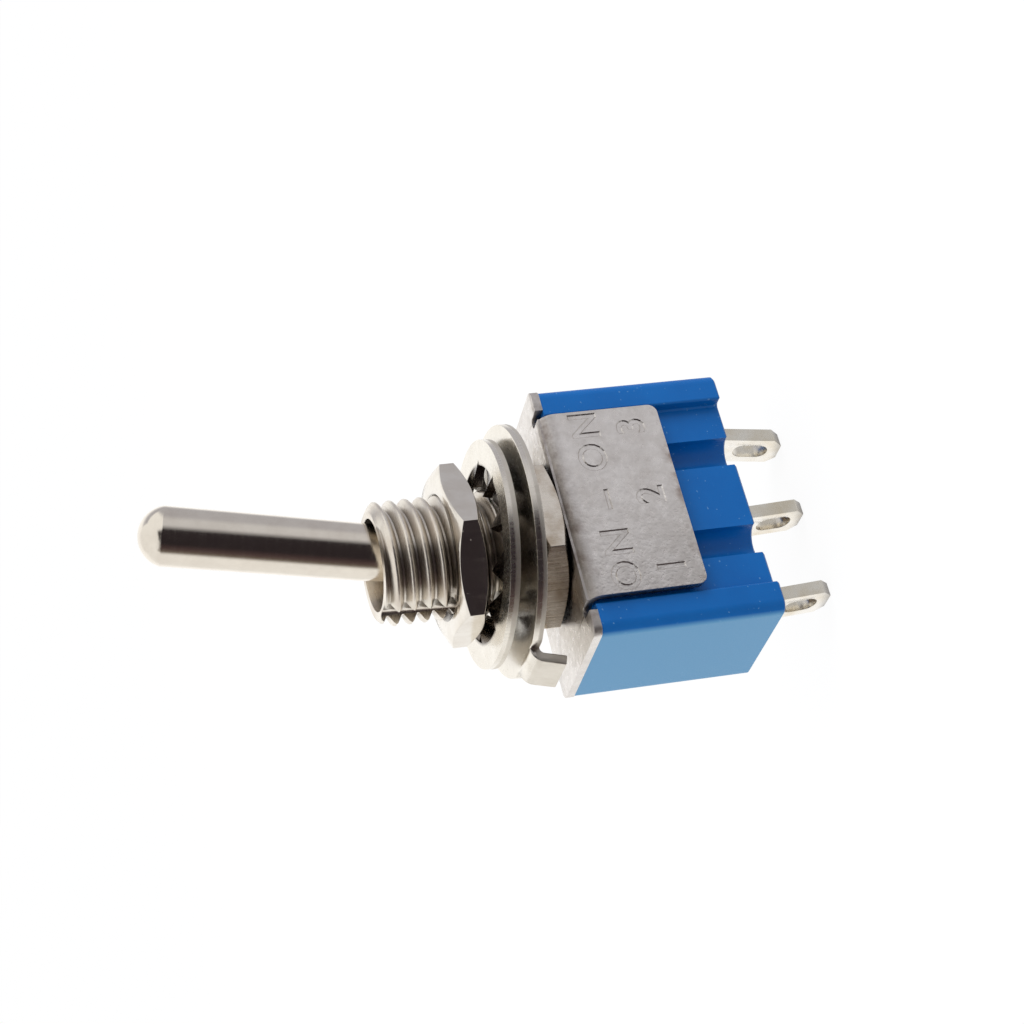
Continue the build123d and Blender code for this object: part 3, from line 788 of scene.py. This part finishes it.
# nickel over spring steel: as the ring, a little duller, with painted shade on the teeth
washer_plate = plated_metal(
    "nickel plated spring steel", "#ebe5da", "#dfd8cb", 0.24, (8.0, 8.0, 0.8), 0.0014,
    8.0, 0.0004, shade_reach=0.9, shade_openness=0.5, shade_depth=0.5, torn=(washer_axis, 3.12),
)
# painted shade: the teeth, in the narrow gaps beside the washer, are darkened to dark brown
# inside a ring round the bore, which stops at the rim
teeth_shade_centre = (-0.1, 0, 0)   # where the leaning washer hangs, in mm
teeth_shade_edge_r, teeth_shade_full_r = 4.42, 4.24
tree = washer_plate.node_tree
shader = tree.nodes["Principled BSDF"]
plated = shader.inputs["Base Color"].links[0].from_node
place = add_node(tree, "ShaderNodeTexCoord")
in_mm = add_node(
    tree, "ShaderNodeMapping", {"Scale": (1000, 1000, 0)}, {"Vector": (place, "Object")}
)
off_axis = add_node(
    tree, "ShaderNodeVectorMath", {"operation": "DISTANCE", 1: teeth_shade_centre}, {0: (in_mm, 0)}
)
teeth_shade = add_node(
    tree, "ShaderNodeMapRange", {1: teeth_shade_edge_r, 2: teeth_shade_full_r, 3: 0.0, 4: 0.86},
    {0: (off_axis, "Value")},
)
teeth_shaded = add_node(
    tree, "ShaderNodeMix", {"data_type": "RGBA", 7: linear("#4a3c34")},
    {0: (teeth_shade, 0), 6: (plated, 2)},
)
tree.links.new(teeth_shaded.outputs[2], shader.inputs["Base Color"])
dress(
    "lock_washer", "lock_washer_plated", "housing", 0.05, washer_plate,
    smooth_below=12,
)

# ---- front nut ----
# The same nut as the one behind, run down in front of the panel. Its flats were polished
# after the bar was drawn, so they are nearly a mirror.

# nickel over polished brass: nearly a mirror, with a few specks of dust
front_plate = plated_metal(
    "nickel plated polished brass", "#e8e2d8", "#ded6ca", 0.17, (5.0, 5.0, 0.5), 0.0015,
    7.0, 0.0016, speck="#b9b0a6", speck_from=0.72,
)
dress("front_nut", "front_nut_plated", "housing", 0.025, front_plate)

# ---- lever ----
# Turned brass, plated bright. The rod ends in a low dome with a sharp shoulder, and the
# ball behind it sits in the bushing. The tool left fine rings along the rod.

lever_lean = math.radians(12.5)
# nickel over turned brass: bright and clear, with very fine rings round the rod
lever_plate = plated_metal(
    "nickel plated lever brass", "#e6ded1", "#dcd3c6", 0.15, (0.5, 0.5, 14.0), 0.0010,
    9.0, 0.0012, lean=lever_lean, shade_reach=0.8,
)
pivot = Vector((0, 0, 5.5)) * mm
# radii, and distances along the rod from the pivot, in mm
ball_r = 2.1
rod_root_r = 1.3
rod_mouth_r = 1.385         # the rod swells a little towards its tip
rod_mouth = 3.75
rod_tip_r = 1.45
rod_shoulder = 13.13
dome_height = 1.145
tail_r = 1.15
tail_end = -4.2
tail_edge = 0.12
bore_r = 0.78
bore_end = -0.3
pole_r = 0.02               # a pinhole at each end of the axis, closed with one face
lever_steps = 96            # round the axis
ball_steps = 24             # along the ball's arc
dome_steps = 18             # along the dome's arc
ball_from = -math.degrees(math.acos(tail_r / ball_r))
ball_to = math.degrees(math.acos(rod_root_r / ball_r))
dome_r = (rod_tip_r ** 2 + dome_height ** 2) / (2 * dome_height)
dome_from = math.degrees(math.acos(rod_tip_r / dome_r))
dome_centre = rod_shoulder + dome_height - dome_r
lever_outline = [
    (pole_r, bore_end), (bore_r, bore_end - bore_r / 2), (bore_r, tail_end),
    (tail_r - tail_edge, tail_end), (tail_r, tail_end + tail_edge),
]
for step in range(ball_steps + 1):
    turn = math.radians(ball_from + (ball_to - ball_from) * step / ball_steps)
    lever_outline.append((ball_r * math.cos(turn), ball_r * math.sin(turn)))
lever_outline.append((rod_mouth_r, rod_mouth))
for step in range(dome_steps):
    turn = math.radians(dome_from + (90 - dome_from) * step / dome_steps)
    lever_outline.append((dome_r * math.cos(turn), dome_centre + dome_r * math.sin(turn)))
lever_outline.append((pole_r, rod_shoulder + dome_height))

deselect()
bpy.ops.mesh.primitive_circle_add(
    vertices=lever_steps, radius=pole_r * mm, location=(0, 0, bore_end * mm), fill_type="NGON"
)
lever = bpy.context.object
lever.name = "lever_turned"
bpy.ops.object.transform_apply(location=True, rotation=True, scale=True)
bpy.ops.object.mode_set(mode="EDIT")
bpy.ops.mesh.select_all(action="SELECT")
for (from_r, from_z), (to_r, to_z) in zip(lever_outline, lever_outline[1:]):
    bpy.ops.mesh.extrude_edges_move(
        TRANSFORM_OT_translate={"value": (0, 0, (to_z - from_z) * mm)}
    )
    bpy.ops.transform.resize(
        value=(to_r / from_r, to_r / from_r, 1), center_override=(0, 0, 0)
    )
bpy.ops.mesh.edge_face_add()
bpy.ops.mesh.select_all(action="SELECT")
bpy.ops.mesh.normals_make_consistent(inside=False)
bpy.ops.object.mode_set(mode="OBJECT")
lever.location = pivot
lever.rotation_euler = (0, lever_lean, 0)
bpy.ops.object.transform_apply(location=True, rotation=True, scale=True)
bpy.ops.object.shade_smooth_by_angle(angle=math.radians(9))
lever.data.materials.append(lever_plate)
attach(lever, "lever")
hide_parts("lever")

# ---- plunger and spring ----
# A nylon plunger slides in the lever's tail on a wire spring, and its round tip rides in
# the rocker's trough.

# moulded nylon: milky white, waxy, with a soft sheen
plunger_nylon, tree = new_material("moulded white nylon")
place = add_node(tree, "ShaderNodeTexCoord")
in_mm = add_node(
    tree, "ShaderNodeMapping", {"Scale": (1000, 1000, 1000)}, {"Vector": (place, "Object")}
)
milk = add_node(
    tree, "ShaderNodeTexNoise", {"Scale": 2.0, "Detail": 3.0, "Roughness": 0.5},
    {"Vector": (in_mm, 0)},
)
white_wax = add_node(tree, "ShaderNodeValToRGB", {}, {"Fac": (milk, "Fac")})
white_wax.color_ramp.elements[0].color = linear("#dad6ca")
white_wax.color_ramp.elements[1].color = linear("#eeebe2")
wax_relief = add_node(
    tree, "ShaderNodeBump", {"Strength": 0.5, "Distance": 0.004 * mm}, {"Height": (milk, "Fac")}
)
shader = add_node(
    tree, "ShaderNodeBsdfPrincipled", {"IOR": 1.53, "Roughness": 0.38},
    {"Base Color": (white_wax, 0), "Normal": (wax_relief, 0)},
)
add_node(tree, "ShaderNodeOutputMaterial", {}, {"Surface": (shader, 0)})
plunger = nodes["plunger"]
plunger.data.materials.clear()
plunger.data.materials.append(plunger_nylon)

# drawn steel: grey and satin, with no plate
spring_wire = plated_metal(
    "drawn spring wire", "#b9b6b0", "#8f8b84", 0.3, (3.0, 3.0, 3.0), 0.001, 10.0, 0.001,
    lean=lever_lean,
)
spring = dress(
    "plunger_spring", "plunger_spring_wound", "lever", 0.0, spring_wire
)
# the height of each of its points along the lever's axis from the pivot, and a mesh of its own
lever_axis = Vector((math.sin(lever_lean), 0, math.cos(lever_lean)))
heights = [(vertex.co - pivot).dot(lever_axis) for vertex in spring.data.vertices]
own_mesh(spring)
